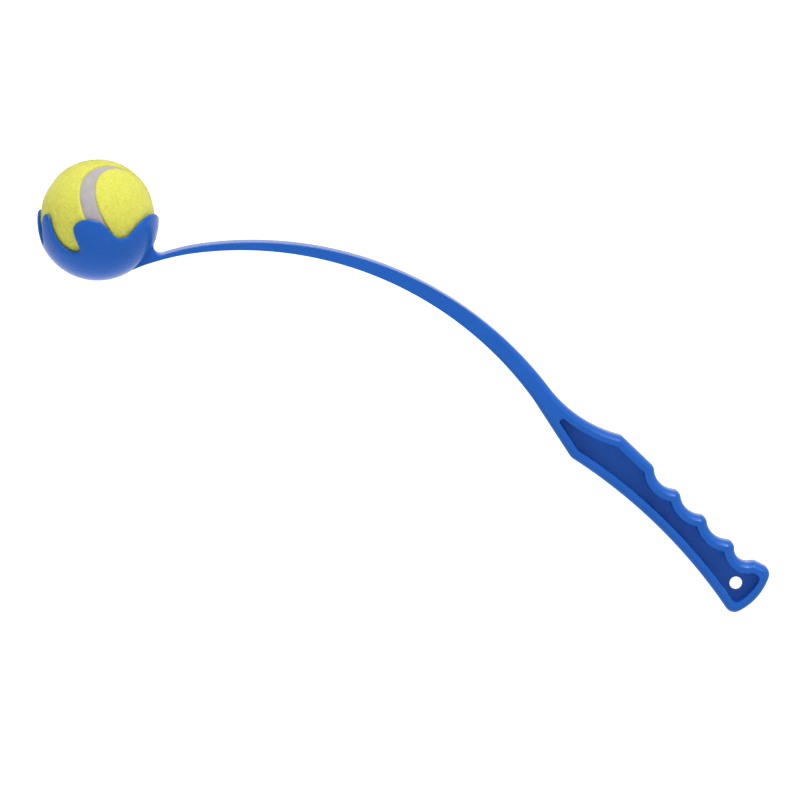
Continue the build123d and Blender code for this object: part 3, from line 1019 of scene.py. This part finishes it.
def finish(name, tone, deep, patch, rough, bump, sheen=0.0, specular=0.5, sheen_tint=(1, 1, 1)):
    """A Principled material with noise in the object's space for its tone, roughness and bump.

    Each of patch, rough and bump starts with the scale and detail of its noise. The lowest and highest
    roughness follow in rough, and the height in bump.
    """
    material = bpy.data.materials.new(name)
    material.use_nodes = True
    tree = Tree(material.node_tree)
    space = tree.out("ShaderNodeTexCoord", output="Object")
    darkest, lightest, fineness, sheen_rough = 0.3, 0.7, 0.6, 0.5

    def grain(scale, detail, low, high):
        cloud = {"Vector": space, "Scale": scale, "Detail": detail, "Roughness": fineness}
        level = tree.out("ShaderNodeTexNoise", cloud, "Fac")
        span = {"Value": level, "From Min": darkest, "From Max": lightest, "To Min": low, "To Max": high}
        return tree.out("ShaderNodeMapRange", span, "Result")

    tones = {"Factor": grain(*patch, 0, 1), 6: (*deep, 1), 7: (*tone, 1)}
    mixed = tree.out("ShaderNodeMix", tones, 2, data_type="RGBA")
    *pattern, height = bump
    relief = {"Height": grain(*pattern, 0, 1), "Distance": height, "Strength": 1.0}
    raised = tree.out("ShaderNodeBump", relief)
    shader = tree.out("ShaderNodeBsdfPrincipled", {
        "Base Color": mixed, "Roughness": grain(*rough), "Normal": raised,
        "Sheen Weight": sheen, "Sheen Roughness": sheen_rough, "Sheen Tint": (*sheen_tint, 1),
        "Specular IOR Level": specular,
    })
    tree.add("ShaderNodeOutputMaterial", {"Surface": shader})
    return material


def plastic_finish(tones):
    return finish(
        "moulded_plastic", tones.plastic, tones.plastic_deep,
        patch=(55, 3), rough=(420, 2, 0.22, 0.3), bump=(1500, 2, 0.012 * MM), specular=0.15,
    )


def felt_finish(tones):
    # The felt's noise patches mix in painted shade: a darker tone that stands for the shade between the
    # fibres.
    return finish(
        "ball_felt", tones.felt, tones.felt_painted_shade,
        patch=(620, 4), rough=(500, 2, 0.88, 1.0), bump=(900, 4, 0.12 * MM),
        sheen=0.4, specular=0.1, sheen_tint=(1, 0.98, 0.7),
    )


def seam_finish(tones):
    return finish(
        "seam_rubber", tones.seam, tones.seam_deep,
        patch=(260, 4), rough=(600, 2, 0.65, 0.85), bump=(1100, 3, 0.08 * MM), specular=0.3,
    )


def core_finish(tones):
    return finish(
        "core_rubber", tones.rubber, tones.rubber_deep,
        patch=(150, 3), rough=(400, 2, 0.6, 0.8), bump=(900, 3, 0.05 * MM), specular=0.3,
    )


# Operators

class LAUNCHER_OT_moulding(Operator):
    """Build the one-piece moulding: grip, arm and petalled cup"""

    bl_idname = "launcher.moulding"
    bl_label = "Moulding"
    bl_options = {"REGISTER", "UNDO"}

    def execute(self, context):
        scene = context.scene
        layout = Layout(scene)
        grip_and_arm = plate_mesh(layout, scene.launcher_grip, scene.launcher_pocket)
        plate = bpy.data.objects.new("plate", grip_and_arm)
        bowl = bpy.data.objects.new("bowl", cup_mesh(layout))
        for obj in (plate, bowl):
            scene.collection.objects.link(obj)
        joined = plate.modifiers.new("join", "BOOLEAN")
        joined.operation, joined.solver, joined.object = "UNION", "EXACT", bowl
        mesh = evaluated_mesh(plate)
        remove(plate)
        remove(bowl)
        tidy(mesh)
        moulding = piece("moulding", mesh, plastic_finish(scene.launcher_finish), MOULDING_CREASE)
        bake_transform(moulding)
        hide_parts("handle", "arm", "arm_tip", "cup")
        return {"FINISHED"}


class LAUNCHER_OT_felt(Operator):
    """Build the ball's two felt panels with their nap"""

    bl_idname = "launcher.felt"
    bl_label = "Felt panels"
    bl_options = {"REGISTER", "UNDO"}

    def execute(self, context):
        scene = context.scene
        layout, ball, napped_roll = Layout(scene), scene.launcher_ball, 0.8
        material = felt_finish(scene.launcher_finish)
        group, sockets = nap_tree(material)
        for node, turned_over in (("felt_panel_a", True), ("felt_panel_b", False)):
            base = piece("felt_base", felt_mesh(layout, turned_over), material, FELT_CREASE)
            nap = base.modifiers.new("nap", "NODES")
            nap.node_group = group
            nap[sockets["Count"]] = ball.nap_count / MM ** 2
            nap[sockets["Length"]] = ball.nap_length
            nap[sockets["Thickness"]] = ball.nap_thickness
            nap[sockets["Middle"]] = layout.solid(layout.ball_centre)
            nap[sockets["Inside"]] = ball.radius - ball.edge_roll * napped_roll
            nap[sockets["Seed"]] = ball.nap_seed + turned_over
            mesh = evaluated_mesh(base)
            remove(base)
            panel = piece(f"{node}_nap", mesh, material, FELT_CREASE)
            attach(panel, "ball")
            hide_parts(node)
        return {"FINISHED"}


class LAUNCHER_OT_seam(Operator):
    """Build the rubber seam between the felt panels"""

    bl_idname = "launcher.seam"
    bl_label = "Seam"
    bl_options = {"REGISTER", "UNDO"}

    def execute(self, context):
        scene = context.scene
        mesh = seam_mesh(Layout(scene))
        seam = piece("ball_seam", mesh, seam_finish(scene.launcher_finish), SEAM_CREASE)
        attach(seam, "ball")
        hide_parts("seam_strip")
        return {"FINISHED"}


class LAUNCHER_OT_core(Operator):
    """Give the ball's two core halves their rubber"""

    bl_idname = "launcher.core"
    bl_label = "Ball core"
    bl_options = {"REGISTER", "UNDO"}

    def execute(self, context):
        material = core_finish(context.scene.launcher_finish)
        for node in ("core_half_a", "core_half_b"):
            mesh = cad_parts[node].data
            mesh.materials.clear()
            mesh.materials.append(material)
        return {"FINISHED"}


class LAUNCHER_OT_stage(Operator):
    """Set up the white floor, the soft light and the camera"""

    bl_idname = "launcher.stage"
    bl_label = "Stage"
    bl_options = {"REGISTER", "UNDO"}

    def execute(self, context):
        scene, stage = context.scene, context.scene.launcher_stage
        scene.view_settings.view_transform = "Standard"
        lowest, floor_sides = CAD_BOX[0][2], 64
        middle = Vector((CAD_BOX[0][k] + CAD_BOX[1][k]) / 2 for k in range(3))
        floor_mesh = bpy.data.meshes.new("floor")
        work = bmesh.new()
        bmesh.ops.create_circle(work, cap_ends=True, segments=floor_sides, radius=stage.floor_radius)
        place = Matrix.Translation((middle.x, middle.y, lowest - stage.floor_drop))
        bmesh.ops.transform(work, matrix=place, verts=work.verts)
        work.to_mesh(floor_mesh)
        work.free()
        floor_mesh.materials.append(self.floor_paint(stage))
        floor = bpy.data.objects.new("floor", floor_mesh)
        scene.collection.objects.link(floor)
        self.room(scene, stage)
        self.lamp("key_light", stage.key_light, stage.key_from, stage.light_spread)
        self.lamp("key_core", stage.glint_light, stage.key_from, stage.glint_spread)
        self.lamp("side_light", stage.side_light, stage.side_from, stage.light_spread)
        self.camera(scene, stage)
        return {"FINISHED"}

    def seen(self, tree):
        """One for rays that show the background: straight to the camera, mirrored or through glass."""
        path = tree.add("ShaderNodeLightPath").outputs
        shown = path["Is Camera Ray"]
        for name in ("Is Glossy Ray", "Is Transmission Ray"):
            shown = tree.calc("MAXIMUM", shown, path[name])
        return shown

    def floor_paint(self, stage):
        material = bpy.data.materials.new("floor_paint")
        material.use_nodes = True
        tree = Tree(material.node_tree)
        tone = (stage.floor_tone,) * 3
        paint = tree.out("ShaderNodeBsdfDiffuse", {"Color": (*tone, 1)})
        glow = tree.calc("MULTIPLY", self.seen(tree), stage.floor_glow)
        light = tree.out("ShaderNodeEmission", {"Strength": glow})
        both = tree.out("ShaderNodeAddShader", {0: paint, 1: light})
        tree.add("ShaderNodeOutputMaterial", {"Surface": both})
        return material

    def room(self, scene, stage):
        world = bpy.data.worlds.new("room")
        world.use_nodes = True
        tree = Tree(world.node_tree)
        level = {"Value": self.seen(tree), "To Min": stage.room_light, "To Max": 1.0}
        strength = tree.out("ShaderNodeMapRange", level, "Result")
        light = tree.out("ShaderNodeBackground", {"Color": (1, 1, 1, 1), "Strength": strength})
        tree.add("ShaderNodeOutputWorld", {"Surface": light})
        scene.world = world

    def lamp(self, name, strength, come_from, spread):
        data = bpy.data.lights.new(name, "SUN")
        data.energy, data.angle = strength, spread
        lamp = bpy.data.objects.new(name, data)
        azimuth, height = come_from
        way = Vector((-math.sin(azimuth), math.cos(azimuth), -math.tan(height)))
        lamp.rotation_euler = way.to_track_quat("-Z", "Y").to_euler()
        bpy.context.scene.collection.objects.link(lamp)

    def camera(self, scene, stage):
        a, e = stage.azimuth, stage.elevation
        right = Vector((math.cos(a), math.sin(a), 0))
        forward = Vector((-math.sin(a) * math.cos(e), math.cos(a) * math.cos(e), -math.sin(e)))
        up = right.cross(forward)
        target = right * stage.aim[0] + up * stage.aim[1]
        data = bpy.data.cameras.new("camera")
        data.sensor_width = 36
        data.lens = data.sensor_width * stage.distance / stage.view_width
        camera = bpy.data.objects.new("camera", data)
        turned = Matrix((right, up, -forward)).transposed().to_4x4()
        camera.matrix_world = Matrix.Translation(target - forward * stage.distance) @ turned
        scene.collection.objects.link(camera)
        scene.camera = camera


OPERATORS = (LAUNCHER_OT_moulding, LAUNCHER_OT_felt, LAUNCHER_OT_seam, LAUNCHER_OT_core, LAUNCHER_OT_stage)


class LAUNCHER_PT_panel(Panel):
    """Sizes, colours and build steps of the launcher"""

    bl_idname = "LAUNCHER_PT_panel"
    bl_label = "Ball launcher"
    bl_space_type = "VIEW_3D"
    bl_region_type = "UI"
    bl_category = "Launcher"

    def draw(self, context):
        for operator in OPERATORS:
            self.layout.operator(operator.bl_idname)
        for name, group in GROUPS.items():
            box = self.layout.box()
            box.label(text=name.replace("_", " ").capitalize())
            for prop in group.__annotations__:
                box.prop(getattr(context.scene, name), prop)


CLASSES = (*GROUPS.values(), *OPERATORS, LAUNCHER_PT_panel)


def register():
    for made in CLASSES:
        bpy.utils.register_class(made)
    for name, group in GROUPS.items():
        setattr(bpy.types.Scene, name, PointerProperty(type=group))


def unregister():
    for name in GROUPS:
        delattr(bpy.types.Scene, name)
    for made in reversed(CLASSES):
        bpy.utils.unregister_class(made)


def main():
    register()
    bpy.ops.launcher.moulding()
    bpy.ops.launcher.felt()
    bpy.ops.launcher.seam()
    bpy.ops.launcher.core()
    bpy.ops.launcher.stage()
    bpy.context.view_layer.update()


if __name__ == "__main__":
    main()
